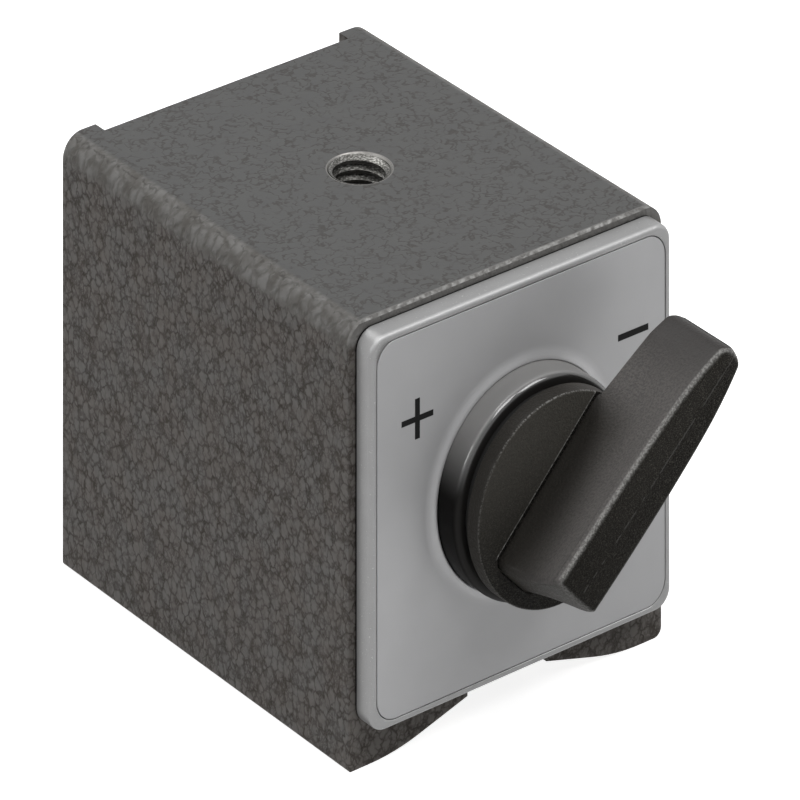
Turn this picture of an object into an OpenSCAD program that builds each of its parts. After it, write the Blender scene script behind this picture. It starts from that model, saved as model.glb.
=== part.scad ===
// Switchable magnetic base: a steel block with a 90 degree rotary magnet inside and a knob on its front.
// Frame: +X to the right seen from the front, the front faces -Y, +Z is up. The origin is on the base plane,
// under the threaded hole. "Reach" is a distance forward of the origin along the rotor axis, so towards -Y.

/* [Block] */
// Width of the block, left to right
block_w = 50; // [48:0.5:54]
// Depth of the steel block, front to rear
block_d = 60; // [56:1:80]
// Height of the block
block_h = 55; // [54:0.5:60]
// Radius of the two upper edges that run front to rear
top_edge_r = 3; // [1:0.5:4]
// Bevel along the upper front edge
front_bevel = 0.3; // [0.2:0.1:1]
// Depth of the recess in the rear face
recess_depth = 2; // [1.8:0.1:3]
// Width of the cheek that is left standing on each side of the rear recess
cheek_w = 5.2; // [4:0.1:7]
// Corner radius at the outside of the left foot
left_foot_r = 0.4; // [0.2:0.1:1.5]
// Corner radius at the outside of the right foot
right_foot_r = 1.2; // [0.2:0.1:1.5]

/* [Vee base] */
// Slope of each flank of the vee under the block
vee_angle = 15; // [10:1:20]
// Width of each ground foot
foot_w = 3.3; // [2:0.1:5]
// Radius that blends the foot into the flank
foot_blend_r = 30; // [10:1:40]
// Width of the gap between the two poles at the base
slot_w = 12.6; // [10:0.1:14]
// Height of the gap's roof over the base plane
slot_h = 7; // [6:0.1:9]

/* [Top hole] */
// Nominal diameter of the thread in the top
thread_d = 8; // [8:0.5:8.5]
// Depth of the threaded hole
thread_depth = 9; // [6:0.5:9]
// Diameter of the countersink at its mouth
thread_mouth_d = 8.5; // [8.2:0.1:9]
// Width of the non-magnetic strip that joins the poles at the top
top_strip_w = 16; // [14:0.5:20]

/* [Rotor] */
// Height of the rotor axis over the base plane
axis_z = 29.8; // [29:0.1:31]
// Bore through the poles
bore_d = 30; // [29:0.5:31]
// Air gap between the rotor and the poles
air_gap = 0.3; // [0.2:0.05:0.5]
// Thickness of the magnets between the two pole shoes
magnet_t = 12; // [8:0.5:14]
// Number of magnet blocks in the row
magnet_count = 3; // [2:1:4]
// Turn of the knob from off to on
turn_angle = 90; // [60:5:90]
// Running clearance of each journal, on the radius
journal_gap = 0.05; // [0.02:0.01:0.1]

/* [Front plate] */
// Width of the plate
plate_w = 48; // [46:0.5:49]
// Height of the plate
plate_h = 48.6; // [46:0.1:50]
// Thickness of the plate
plate_t = 3.2; // [2.5:0.1:4]
// Corner radius of the plate
plate_corner_r = 2.4; // [2:0.1:4]
// Rounding of the plate's front edge
plate_edge_r = 0.6; // [0.4:0.1:0.8]
// Width of the flat rim round the label
rim_w = 0.8; // [0.8:0.1:1.5]
// Corner radius of the label
label_corner_r = 3; // [2:0.1:4]

/* [Bezel] */
// Outer diameter of the fixed ring behind the knob
bezel_d = 27.5; // [26.5:0.1:28]
// How far the ring stands out of the plate
bezel_reach = 4; // [3:0.1:5]

/* [Knob] */
// Angle of the knob's bar over the horizontal when the magnet is off
rest_angle = 44.5; // [40:0.5:50]
// Diameter of the knob's round flange
flange_d = 26; // [24:0.1:26]
// Thickness of the flange
flange_t = 2.4; // [2:0.1:3]
// Gap between the ring and the flange
knob_gap = 1; // [0.8:0.1:1.5]
// Length of the bar from the axis to its long end
bar_long = 25.2; // [20:0.1:28]
// Length of the bar from the axis to its short end, at the flange
bar_short = 10.8; // [8:0.1:12]
// Largest width of the bar
bar_w = 8.4; // [7:0.1:9]
// Width of the bar's waist between the finger grips
waist_w = 5.2; // [5:0.1:6]
// Height of the bar's ridge over the back of the flange, at the axis
ridge_h = 13.6; // [11:0.1:15]

/* [Hidden] */

$fn = 96;
eps = 0.01;        // how far a cutter runs past a face
past = 1;          // how far a large cutter runs past a face

front = block_d / 2;               // reach of the block's front face
rear = -block_d / 2;               // reach of the rear cheeks
recess_floor = rear + recess_depth;
bore_r = bore_d / 2;
rotor_r = bore_r - air_gap;

blend_x = block_w / 2 - foot_w;                     // where the foot starts to curve upwards
flank_x = blend_x - foot_blend_r * sin(vee_angle);  // where the curve becomes the straight flank
flank_z = foot_blend_r * (1 - cos(vee_angle));
slot_edge_z = flank_z + (flank_x - slot_w / 2) * tan(vee_angle);

// reaches along the rotor axis
rear_disc_t = 4;
rear_disc_front = recess_floor + rear_disc_t;
rotor_back = rear_disc_front + 0.5;
cap_t = 4;
rotor_front = front - 2.5;
magnet_back = rotor_back + cap_t;
magnet_front = rotor_front - cap_t;

label_floor = front + plate_t - 0.35;   // floor of the pocket that takes the label
label_t = 0.25;
label_w = plate_w - 2 * rim_w;
label_h = plate_h - 2 * rim_w;
bezel_front = front + plate_t + bezel_reach;
bezel_spigot_r = 12.5;
bezel_edge_r = 0.9;
lip_w = 0.75;
lip_front = front + plate_t + 0.3;      // front of the plate's raised lip round the ring
seal_in_r = 11;
seal_out_r = 12.3;
seal_floor = bezel_front - 0.8;
flange_back = bezel_front + knob_gap;

shaft_r = 5;
bush_r = 8;
rear_journal_r = 4;
rear_bush_r = 6;
key_t = 3;                              // thickness of the flat at each end of the shaft
key_r = 4.5;                            // radius that the flat is turned down to
rotor_key_l = 2.5;                      // how far it reaches into the front cap
knob_key_l = 9;                         // how far it reaches into the knob
clip_back = rotor_front + 0.5;
clip_t = 0.8;
clip_in_r = 4.3;
clip_out_r = 6.8;

stop_pin_x = 10.5;                      // distance of the stop pin from the axis
stop_pin_r = 1.25;
stop_pin_angle = 225;                   // the pin's direction, counted from +X towards +Z
stop_slot_r = 1.6;
stop_slot_t = 2;
stop_pin_back = rotor_front - stop_slot_t + 0.3;
stop_pin_front = front + 2;

screw_r = 1.5;
screw_head_r = 3;
screw_head_t = 1.5;
screw_l = 9;
front_screw_x = 20;
front_screw_z = 20.3;
rear_screw_x = 15.5;
rear_screw_z = 20;
cap_screw_x = 4;
cap_screw_z = 10.8;
cap_screw_r = 1.25;
cap_head_r = 2.25;
cap_head_t = 1.5;
rear_plate_t = 1.5;
rear_plate_gap = 0.2;

lens_r = 122;                           // plan radius of the bar's two sides
lens_s = 6;                             // where along the bar it is widest
bar_corner_r = 1.7;                     // upright corners of its long end
bar_end_r = 1.3;                        // the end's two corners seen from the side
grip_r = 16;                            // radius of each finger grip
grip_h = 6.5;                           // height of its deepest line over the flange's back
end_draft = 3;                          // draft of the bar's ends, in degrees
groove_r = 0.7;                         // groove at the foot of the bar
chord_t = 4.1;                          // distance of the groove's outer edge from the bar's middle
rim_s = 12.5;                           // where the bar's underside leaves the flange
underside_slope = 10.5;                 // rise of that underside towards the long end
ridge_slope = 2.9;                      // the ridge rises towards the long end
roof_slope = 7;                         // fall of the bar's front face to each side of the ridge
end_slope = 12;                         // lean of the bar's short end
bar_top = 20;                           // height of the blank that the bar is cut from

// places children so that their local +Z is forward along the rotor axis and their local +Y is up
module on_axis() {
    translate([0, 0, axis_z]) rotate([90, 0, 0]) children();
}

// a disc or a ring on the rotor axis between two reaches
module disc(from, to, r, hole_r = 0) {
    on_axis() translate([0, 0, from]) difference() {
        cylinder(h = to - from, r = r);
        if (hole_r > 0) translate([0, 0, -past]) cylinder(h = to - from + 2 * past, r = hole_r);
    }
}

// an upright outline pushed through from one reach to another, with its own Y as height over the base
module upright(from, to) {
    translate([0, -from, 0]) rotate([90, 0, 0]) linear_extrude(to - from) children();
}

// children at the four corners of a rectangle centred on the rotor axis
module at_corners(x, z) {
    for (sx = [-1, 1], sz = [-1, 1])
        translate([sx * x, 0, axis_z + sz * z]) children();
}

// a countersunk screw that points to the rear, with its head flush at a reach
module countersunk(reach, length) {
    translate([0, -reach, 0]) rotate([-90, 0, 0]) {
        cylinder(h = screw_head_t, r1 = screw_head_r, r2 = screw_r);
        cylinder(h = length, r = screw_r);
    }
}

// the same screw pointing to the front
module countersunk_from_rear(reach, length) {
    mirror([0, 1, 0]) countersunk(-reach, length);
}

// the hole that either screw needs, deep enough for its whole length
module front_screw_holes() { at_corners(front_screw_x, front_screw_z) countersunk(label_floor, screw_l); }
module rear_screw_holes() {
    at_corners(rear_screw_x, rear_screw_z) countersunk_from_rear(recess_floor - rear_plate_t, screw_l);
}

module rounded_rectangle(w, h, r) {
    square([w - 2 * r, h], center = true);
    square([w, h - 2 * r], center = true);
    for (sx = [-1, 1], sy = [-1, 1])
        translate([sx * (w / 2 - r), sy * (h / 2 - r)]) circle(r = r);
}

// ---- steel block ----

// one foot corner, rounded
module foot_corner(side, r) {
    translate([side * (block_w / 2 - r), r]) circle(r = r);
}

module block_outline() {
    half = block_w / 2;
    translate([-half, right_foot_r]) square([block_w, block_h - top_edge_r - right_foot_r]);
    translate([-half + top_edge_r, 0]) square([block_w - 2 * top_edge_r, block_h]);
    translate([-half + left_foot_r, 0]) square([top_edge_r, block_h / 2]);
    translate([-half, left_foot_r]) square([top_edge_r, block_h / 2]);
    translate([half - right_foot_r - top_edge_r, 0]) square([top_edge_r, block_h / 2]);
    foot_corner(-1, left_foot_r);
    foot_corner(1, right_foot_r);
    for (side = [-1, 1])
        translate([side * (half - top_edge_r), block_h - top_edge_r]) circle(r = top_edge_r);
}

// what the vee and the gap take out of the underside
module vee_outline() {
    polygon([
        [-flank_x, -past], [flank_x, -past], [flank_x, flank_z],
        [slot_w / 2, slot_edge_z], [slot_w / 2, slot_h], [-slot_w / 2, slot_h],
        [-slot_w / 2, slot_edge_z], [-flank_x, flank_z]]);
    lap = 0.5;
    for (side = [-1, 1]) difference() {
        translate([side > 0 ? flank_x - lap : -blend_x, -past])
            square([blend_x - flank_x + lap, past + flank_z]);
        translate([side * blend_x, foot_blend_r]) circle(r = foot_blend_r, $fn = 360);
    }
}

// the whole painted block, before it is divided into poles and strips
module block() {
    difference() {
        upright(rear, front) difference() {
            block_outline();
            vee_outline();
        }
        disc(rear - past, front + past, bore_r);
        translate([-block_w / 2 + cheek_w, -recess_floor, -past])
            cube([block_w - 2 * cheek_w, recess_depth + past, block_h + 2 * past]);
        translate([-block_w / 2 - past, -front, block_h - front_bevel]) rotate([45, 0, 0])
            translate([0, -block_d / 2, 0]) cube([block_w + 2 * past, block_d, past]);
        front_screw_holes();
        rear_screw_holes();
        at_thread() thread_hole();
    }
}

module at_thread() { translate([0, 0, block_h]) children(); }

module thread_hole() {
    mouth_t = (thread_mouth_d - thread_d) / 2;
    translate([0, 0, -thread_depth]) cylinder(h = thread_depth + past, r = thread_d / 2);
    translate([0, 0, -mouth_t]) cylinder(h = mouth_t, r1 = thread_d / 2, r2 = thread_mouth_d / 2);
    cylinder(h = past, r = thread_mouth_d / 2);
}

// the space over the bore that the top strip fills
module top_strip_region() {
    translate([-top_strip_w / 2, -front - past, axis_z])
        cube([top_strip_w, block_d + 2 * past, block_h]);
}

// one side of the block, from the gap between the poles outwards
module pole(side) {
    far = block_w / 2 + past;
    color([0.33, 0.32, 0.31]) difference() {
        block();
        top_strip_region();
        translate([side > 0 ? -far : -slot_w / 2, -front - past, -past])
            cube([far + slot_w / 2, block_d + 2 * past, block_h + 2 * past]);
    }
}

// Left pole and right pole: soft steel, painted outside
module left_pole() { pole(-1); }
module right_pole() { pole(1); }

// Top strip: stainless steel brazed between the poles, it keeps them apart and takes the thread
module top_strip() {
    color([0.33, 0.32, 0.31]) intersection() { block(); top_strip_region(); }
}

// Bottom strip: stainless steel brazed between the poles, it closes the bore over the vee
module bottom_strip() {
    color([0.6, 0.6, 0.6]) difference() {
        translate([-slot_w / 2, -front, slot_h])
            cube([slot_w, front - recess_floor, axis_z - slot_h]);
        disc(rear - past, front + past, bore_r);
    }
}

// ---- rear ----

// Rear bearing disc: closes the bore behind the rotor
module rear_bearing_disc() {
    color([0.72, 0.6, 0.35]) disc(recess_floor, rear_disc_front, bore_r, rear_bush_r);
}

// Rear bush: bronze, carries the rotor's rear journal
module rear_bush() {
    color([0.7, 0.5, 0.3]) disc(recess_floor, rear_disc_front, rear_bush_r, rear_journal_r + journal_gap);
}

// Rear plate: sheet cover that lies in the recess
module rear_plate() {
    w = block_w - 2 * cheek_w - 2 * rear_plate_gap;
    color([0.3, 0.3, 0.3]) difference() {
        on_axis() translate([0, 0, recess_floor - rear_plate_t])
            linear_extrude(rear_plate_t) rounded_rectangle(w, plate_h - 2, 2);
        rear_screw_holes();
    }
}

// Rear plate screws: four countersunk M3
module rear_plate_screws() {
    color([0.6, 0.6, 0.6]) rear_screw_holes();
}

// ---- front plate ----

// The plate's blank, with its front edge rounded all the way round
module plate_blank() {
    on_axis() translate([0, 0, front]) hull() {
        for (sx = [-1, 1], sy = [-1, 1])
            translate([sx * (plate_w / 2 - plate_corner_r), sy * (plate_h / 2 - plate_corner_r), 0])
                plate_corner($fn = 48);
    }
}

module plate_corner() {
    cylinder(h = plate_t - plate_edge_r, r = plate_corner_r);
    for (a = [15 : 15 : 90])
        cylinder(h = plate_t - plate_edge_r * (1 - sin(a)), r = plate_corner_r - plate_edge_r * (1 - cos(a)));
}

// Front plate: cast aluminium, with a shallow pocket for the label and a raised lip round the ring
module front_plate() {
    color([0.6, 0.6, 0.6]) difference() {
        union() {
            difference() {
                plate_blank();
                on_axis() translate([0, 0, label_floor]) linear_extrude(past)
                    rounded_rectangle(label_w, label_h, label_corner_r);
            }
            disc(label_floor - past, lip_front, bezel_d / 2 + lip_w);
        }
        disc(front - past, lip_front + past, bezel_spigot_r);
        disc(label_floor, lip_front + past, bezel_d / 2);
        front_screw_holes();
    }
}

// Front label: thin printed sheet glued in the pocket
module front_label() {
    color([0.66, 0.66, 0.66]) difference() {
        on_axis() translate([0, 0, label_floor]) linear_extrude(label_t)
            rounded_rectangle(label_w, label_h, label_corner_r);
        disc(label_floor - past, lip_front + past, bezel_d / 2 + lip_w);
    }
}

// Front plate screws: four countersunk M3 under the label
module front_plate_screws() {
    color([0.6, 0.6, 0.6]) front_screw_holes();
}

// Stop pin: pressed into the back of the bezel ring, it ends the turn both ways
module stop_pin() {
    color([0.7, 0.7, 0.72]) stop_pin_body();
}

module stop_pin_body() {
    on_axis() rotate([0, 0, stop_pin_angle]) translate([stop_pin_x, 0, stop_pin_back])
        cylinder(h = stop_pin_front - stop_pin_back, r = stop_pin_r);
}

// Bezel ring: fixed ring that the knob turns in front of, with a spigot through the plate
module bezel_ring() {
    color([0.22, 0.22, 0.22]) difference() {
        on_axis() rotate_extrude() bezel_profile();
        stop_pin_body();
    }
}

// half section of the bezel ring, from the axis outwards and with reach as its height
module bezel_profile() {
    r = bezel_d / 2;
    difference() {
        union() {
            translate([0, front]) square([bezel_spigot_r, bezel_front - front]);
            translate([0, label_floor]) square([r, bezel_front - bezel_edge_r - label_floor]);
            translate([0, label_floor]) square([r - bezel_edge_r, bezel_front - label_floor]);
            translate([r - bezel_edge_r, bezel_front - bezel_edge_r]) circle(r = bezel_edge_r);
        }
        translate([-past, front - past]) square([bush_r + past, block_d]);
        translate([seal_in_r, seal_floor]) square([seal_out_r - seal_in_r, past]);
    }
}

// Front bush: bronze, carries the knob's shaft
module front_bush() {
    color([0.7, 0.5, 0.3]) disc(front, bezel_front - 0.2, bush_r, shaft_r + journal_gap);
}

// Dust seal: rubber ring in the gap behind the knob
module dust_seal() {
    color([0.05, 0.05, 0.05]) disc(seal_floor, flange_back - 0.1, seal_out_r, seal_in_r);
}

// Thrust washer: between the retaining ring and the front bush
module thrust_washer() {
    color([0.7, 0.5, 0.3]) disc(clip_back + clip_t + 0.1, front, 9, shaft_r + 2 * journal_gap);
}

// ---- rotor ----

// outline of the slab that the magnets fill, seen along the axis in the off position
module slab_outline() {
    square([bore_d, magnet_t], center = true);
}

// Magnet blocks: a row of ferrite magnets, magnetised up and down when the base is off
module magnet_blocks() {
    length = (magnet_front - magnet_back) / magnet_count;
    joint = 0.2;
    color([0.2, 0.2, 0.22]) for (i = [0 : magnet_count - 1])
        on_axis() translate([0, 0, magnet_back + i * length + joint / 2])
            linear_extrude(length - joint) intersection() {
                circle(r = rotor_r);
                slab_outline();
            }
}

// one soft steel shoe, on the upper or the lower side of the magnets
module shoe(side) {
    on_axis() difference() {
        translate([0, 0, magnet_back]) linear_extrude(magnet_front - magnet_back) intersection() {
            circle(r = rotor_r);
            translate([-bore_r, side > 0 ? magnet_t / 2 : -magnet_t / 2 - bore_r]) square([bore_d, bore_r]);
        }
        cap_screw_holes(magnet_front - screw_l, magnet_front + past);
        cap_screw_holes(magnet_back - past, magnet_back + screw_l);
    }
}

module cap_screw_holes(from, to) {
    for (sx = [-1, 1], sy = [-1, 1])
        translate([sx * cap_screw_x, sy * cap_screw_z, from]) cylinder(h = to - from, r = cap_screw_r);
}

// cap screws with flat heads, each given as the reaches of its two ends
module cap_screws(from, to, head_from, head_to) {
    for (sx = [-1, 1], sy = [-1, 1]) translate([sx * cap_screw_x, sy * cap_screw_z, 0]) {
        translate([0, 0, from]) cylinder(h = to - from, r = cap_screw_r);
        translate([0, 0, head_from]) cylinder(h = head_to - head_from, r = cap_head_r);
    }
}

// Upper shoe and lower shoe: they carry the magnets' flux to the poles when the rotor is turned
module upper_shoe() { color([0.5, 0.5, 0.52]) shoe(1); }
module lower_shoe() { color([0.5, 0.5, 0.52]) shoe(-1); }

// Front cap: brass disc with the slot for the shaft and the curved slot for the stop pin
module front_cap() {
    color([0.72, 0.6, 0.35]) difference() {
        disc(magnet_front, rotor_front, rotor_r);
        on_axis() {
            translate([0, 0, rotor_front - rotor_key_l]) key(rotor_key_l + past);
            translate([0, 0, rotor_front - stop_slot_t]) stop_slot();
            cap_screws(magnet_front - past, rotor_front, rotor_front - cap_head_t, rotor_front + past);
        }
    }
}

// the curved slot as it stands in the off position: the pin is at its end and the cap turns away from it
module stop_slot() {
    first = stop_pin_angle - turn_angle;
    rotate([0, 0, first]) rotate_extrude(angle = turn_angle)
        translate([stop_pin_x - stop_slot_r, 0]) square([2 * stop_slot_r, stop_slot_t + past]);
    for (a = [first, stop_pin_angle])
        rotate([0, 0, a]) translate([stop_pin_x, 0, 0]) cylinder(h = stop_slot_t + past, r = stop_slot_r);
}

// the flat that keys the shaft, from the origin forward
module key(length) {
    intersection() {
        cylinder(h = length, r = key_r);
        translate([-shaft_r, -key_t / 2, 0]) cube([2 * shaft_r, key_t, length]);
    }
}

// Front cap screws: four screws into the shoes
module front_cap_screws() {
    color([0.6, 0.6, 0.6]) on_axis()
        cap_screws(magnet_front - screw_l, rotor_front - 0.1, rotor_front - cap_head_t, rotor_front - 0.1);
}

// Rear cap: brass disc with the rear journal
module rear_cap() {
    color([0.72, 0.6, 0.35]) difference() {
        union() {
            disc(rotor_back, magnet_back, rotor_r);
            disc(recess_floor + 0.3, magnet_back, rear_journal_r);
        }
        on_axis() cap_screws(rotor_back, magnet_back + past, rotor_back - past, rotor_back + cap_head_t);
    }
}

// Rear cap screws: four screws into the shoes
module rear_cap_screws() {
    color([0.6, 0.6, 0.6]) on_axis()
        cap_screws(rotor_back + 0.1, magnet_back + screw_l, rotor_back + 0.1, rotor_back + cap_head_t);
}

// ---- knob ----

// places children in the knob's own axes: +X along the bar to its long end, +Z forward from the flange's back
module at_knob() {
    on_axis() translate([0, 0, flange_back]) rotate([0, 0, rest_angle]) children();
}

// Knob shaft: steel, a flat at each end keys it to the rotor and to the knob
module knob_shaft() {
    color([0.7, 0.7, 0.72]) {
        difference() {
            disc(rotor_front, flange_back, shaft_r);
            disc(clip_back, clip_back + clip_t, shaft_r + past, clip_in_r);
        }
        on_axis() translate([0, 0, rotor_front - rotor_key_l]) key(rotor_key_l);
        at_knob() key(knob_key_l);
    }
}

// Retaining ring: spring steel clip that keeps the shaft in the bush
module retaining_ring() {
    color([0.35, 0.35, 0.36]) on_axis() translate([0, 0, clip_back]) linear_extrude(clip_t) difference() {
        circle(r = clip_out_r);
        circle(r = clip_in_r);
        translate([0, -clip_in_r / 2]) square([clip_out_r + past, clip_in_r]);
    }
}

// the flange's outline from its axis outwards, with a small rounding at the front
module flange_profile() {
    r = flange_d / 2;
    edge = 0.3;
    square([r - edge, flange_t]);
    square([r, flange_t - edge]);
    translate([r - edge, flange_t - edge]) circle(r = edge);
}

// the bar seen from the front: two large arcs, cut off square at the long end with rounded corners
module bar_plan() {
    end_half = 2.8;
    intersection() {
        for_lens(1) circle(r = lens_r, $fn = 720);
        for_lens(-1) circle(r = lens_r, $fn = 720);
        union() {
            translate([-bar_top, -bar_w]) square([bar_top + bar_long - bar_corner_r, 2 * bar_w]);
            translate([0, bar_corner_r - end_half]) square([bar_long, 2 * (end_half - bar_corner_r)]);
            for (side = [-1, 1])
                translate([bar_long - bar_corner_r, side * (end_half - bar_corner_r)])
                    circle(r = bar_corner_r);
        }
    }
}

module for_lens(side) { translate([lens_s, side * (lens_r - bar_w / 2)]) children(); }

// the bar seen along its length, with a finger grip hollowed in each side
module bar_section() {
    difference() {
        translate([-bar_w / 2 - past, flange_t - eps]) square([bar_w + 2 * past, bar_top]);
        for (side = [-1, 1])
            translate([side * (waist_w / 2 + grip_r), grip_h]) circle(r = grip_r, $fn = 180);
    }
}

// points along an arc, in a few straight steps
function arc(x, y, r, from, to) =
    [for (i = [0 : 8]) let (a = from + (to - from) * i / 8) [x + r * cos(a), y + r * sin(a)]];

// the bar seen from its side: the short end leans, and the long end stands clear of the flange
module bar_profile() {
    foot = flange_t - eps;
    lean = (bar_top - foot) * tan(end_slope);
    end_s = bar_long - bar_end_r;
    underside_h = foot + (end_s - rim_s) * tan(underside_slope) + bar_end_r / cos(underside_slope);
    front_h = ridge_h + end_s * tan(ridge_slope) - bar_end_r;
    polygon(concat(
        [[-bar_short, foot], [rim_s, foot]],
        arc(end_s, underside_h, bar_end_r, underside_slope - 90, 0),
        arc(end_s, front_h, bar_end_r, 0, 90),
        [[end_s - bar_end_r, bar_top], [lean - bar_short, bar_top]]));
}

// the bar, cut to its shape from three sides; its ends draw back a little from the parting line
module bar() {
    intersection() {
        linear_extrude(bar_top) bar_plan();
        translate([-bar_top, 0, 0]) rotate([90, 0, 90]) linear_extrude(bar_top + bar_long) bar_section();
        intersection_for (side = [-1, 1]) rotate([0, 0, side * end_draft])
            translate([0, 2 * bar_w, 0]) rotate([90, 0, 0]) linear_extrude(4 * bar_w) bar_profile();
    }
}

// Knob: moulded flange and bar in one piece
module knob() {
    color([0.2, 0.2, 0.19]) at_knob() difference() {
        union() {
            rotate_extrude() flange_profile();
            bar();
        }
        // front face: two slopes that fall away from the ridge
        for (side = [-1, 1])
            translate([0, 0, ridge_h]) rotate([0, -ridge_slope, 0]) rotate([-side * roof_slope, 0, 0])
                translate([-2 * bar_top, -bar_top, 0]) cube([4 * bar_top, 2 * bar_top, bar_top]);
        // groove at the foot of the bar on each side
        for (side = [-1, 1])
            translate([0, side * (chord_t - groove_r), flange_t]) rotate([0, 90, 0])
                cylinder(h = 2 * flange_d, r = groove_r, center = true);
        translate([0, 0, -past]) key(knob_key_l + past);
    }
}

left_pole();
right_pole();
top_strip();
bottom_strip();
rear_bearing_disc();
rear_bush();
rear_plate();
rear_plate_screws();
front_plate();
front_label();
front_plate_screws();
stop_pin();
bezel_ring();
front_bush();
dust_seal();
thrust_washer();
magnet_blocks();
upper_shoe();
lower_shoe();
front_cap();
front_cap_screws();
rear_cap();
rear_cap_screws();
knob_shaft();
retaining_ring();
knob();
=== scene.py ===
import math

import bmesh
import bpy
from mathutils import Matrix, Vector


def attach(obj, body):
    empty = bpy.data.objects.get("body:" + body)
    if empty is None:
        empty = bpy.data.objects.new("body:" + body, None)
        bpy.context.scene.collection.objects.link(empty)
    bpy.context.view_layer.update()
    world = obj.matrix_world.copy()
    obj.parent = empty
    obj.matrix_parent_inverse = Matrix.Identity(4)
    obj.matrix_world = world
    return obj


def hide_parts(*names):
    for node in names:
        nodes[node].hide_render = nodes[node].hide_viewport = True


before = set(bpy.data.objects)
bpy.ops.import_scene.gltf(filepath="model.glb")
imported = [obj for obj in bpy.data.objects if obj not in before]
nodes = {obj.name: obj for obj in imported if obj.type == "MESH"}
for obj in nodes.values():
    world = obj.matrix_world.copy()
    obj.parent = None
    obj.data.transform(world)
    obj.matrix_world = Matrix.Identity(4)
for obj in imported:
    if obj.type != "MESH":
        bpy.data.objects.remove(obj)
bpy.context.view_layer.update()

# ---- Poles and top strip ----
# Two soft steel poles and a stainless strip between them make the block. They are brazed together,
# ground flush and painted over in one go with a hammertone enamel, so no seam shows. The feet, the vee
# and the thread stay bare.

MM = 0.001
AXIS_Z = 29.8
FACE_Y = -30.0


class Value:
    """A shader socket that can be used in sums: each operator adds its Math node."""

    def __init__(self, finish, socket):
        self.finish, self.socket = finish, socket

    def __add__(self, other): return self.finish.math("ADD", self, other)
    def __radd__(self, other): return self.finish.math("ADD", other, self)
    def __sub__(self, other): return self.finish.math("SUBTRACT", self, other)
    def __rsub__(self, other): return self.finish.math("SUBTRACT", other, self)
    def __mul__(self, other): return self.finish.math("MULTIPLY", self, other)
    def __rmul__(self, other): return self.finish.math("MULTIPLY", other, self)
    def __abs__(self): return self.finish.math("ABSOLUTE", self)


class Finish:
    """A material. Its place is the point on the piece in millimetres, in the frame of the whole part."""

    def __init__(self, name, **constants):
        self.material = bpy.data.materials.new(name)
        self.material.use_nodes = True
        self.tree = self.material.node_tree
        self.shader = self.tree.nodes["Principled BSDF"]
        for socket, value in constants.items():
            self.shader.inputs[socket.replace("_", " ")].default_value = value
        self.place = self.vector("SCALE", self.node("TexCoord", out="Object"), Scale=1 / MM)
        self.x, self.y, self.z = self.split(self.place)
        self.face = self.split(self.node("TexCoord", out="Normal"))

    def node(self, kind, settings={}, sockets={}, out=0):
        """Adds a node of any kind and gives one of its outputs."""
        made = self.tree.nodes.new("ShaderNode" + kind)
        for key, value in settings.items():
            setattr(made, key, value)
        for key, value in sockets.items():
            if isinstance(value, Value):
                self.tree.links.new(value.socket, made.inputs[key])
            else:
                made.inputs[key].default_value = value
        return Value(self, made.outputs[out])

    def math(self, operation, a, b=0.0):
        return self.node("Math", {"operation": operation}, {0: a, 1: b})

    def split(self, vector):
        made = self.node("SeparateXYZ", {}, {0: vector}).socket.node
        return [Value(self, made.outputs[i]) for i in range(3)]

    def vector(self, operation, a, b=(0, 0, 0), **sockets):
        out = "Value" if operation == "LENGTH" else "Vector"
        return self.node("VectorMath", {"operation": operation}, {0: a, 1: b, **sockets}, out)

    def step(self, value, low, high):
        """0 up to low, 1 from high on, and a smooth rise between. Swap them for a fall."""
        return self.node("MapRange", {"interpolation_type": "SMOOTHSTEP"},
                         {"Value": value, "From Min": low, "From Max": high})

    def mix(self, factor, a, b):
        """Colour a where factor is 0 and colour b where it is 1."""
        return self.node("Mix", {"data_type": "RGBA"}, {0: factor, 6: a, 7: b}, out=2)

    def noise(self, size, detail=2.0, place=None):
        """About 0.5 on average, in lumps of the given size in millimetres."""
        return self.node("TexNoise", {}, {"Vector": place or self.place, "Scale": 1 / size, "Detail": detail})

    def warped(self, size, reach, stretch=(1, 1, 1)):
        """The place, pushed about by up to reach millimetres in swirls of the given size."""
        swirl = self.node("TexNoise", {}, {"Vector": self.place, "Scale": 1 / size, "Detail": 1.0}, out=1)
        swirl = self.vector("SCALE", self.vector("SUBTRACT", swirl, (0.5, 0.5, 0.5)), Scale=2 * reach)
        return self.vector("MULTIPLY", self.vector("ADD", self.place, swirl), stretch)

    def cells(self, size, place):
        """Distance to the nearest cell border, in cell sizes."""
        return self.node("TexVoronoi", {"feature": "DISTANCE_TO_EDGE"}, {"Vector": place, "Scale": 1 / size})

    def bump(self, height, depth):
        """A surface that stands out by depth, in millimetres, where height is 1."""
        return self.node("Bump", {}, {"Height": height, "Distance": depth * MM, "Strength": 1.0})

    def wear(self, **sockets):
        """Feeds the shader's sockets and gives the finished material."""
        for socket, value in sockets.items():
            self.tree.links.new(value.socket, self.shader.inputs[socket.replace("_", " ")])
        return self.material


def shade(*levels):
    """A linear colour from display levels of 0 to 255."""
    return tuple(((v / 255 + 0.055) / 1.055) ** 2.4 for v in levels) + (1.0,)


def piece(name, points, faces, material, body, slot, stands_for=(), smooth_below=40):
    """An object from points in millimetres, with edges sharper than smooth_below degrees left crisp."""
    mesh = bpy.data.meshes.new(name)
    mesh.from_pydata([Vector(p) * MM for p in points], [], faces)
    mesh.shade_smooth()
    mesh.set_sharp_from_angle(angle=math.radians(smooth_below))
    mesh.materials.append(material)
    made = bpy.data.objects.new(name, mesh)
    bpy.context.scene.collection.objects.link(made)
    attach(made, body)
    if stands_for:
        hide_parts(*stands_for)
    return made


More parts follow.
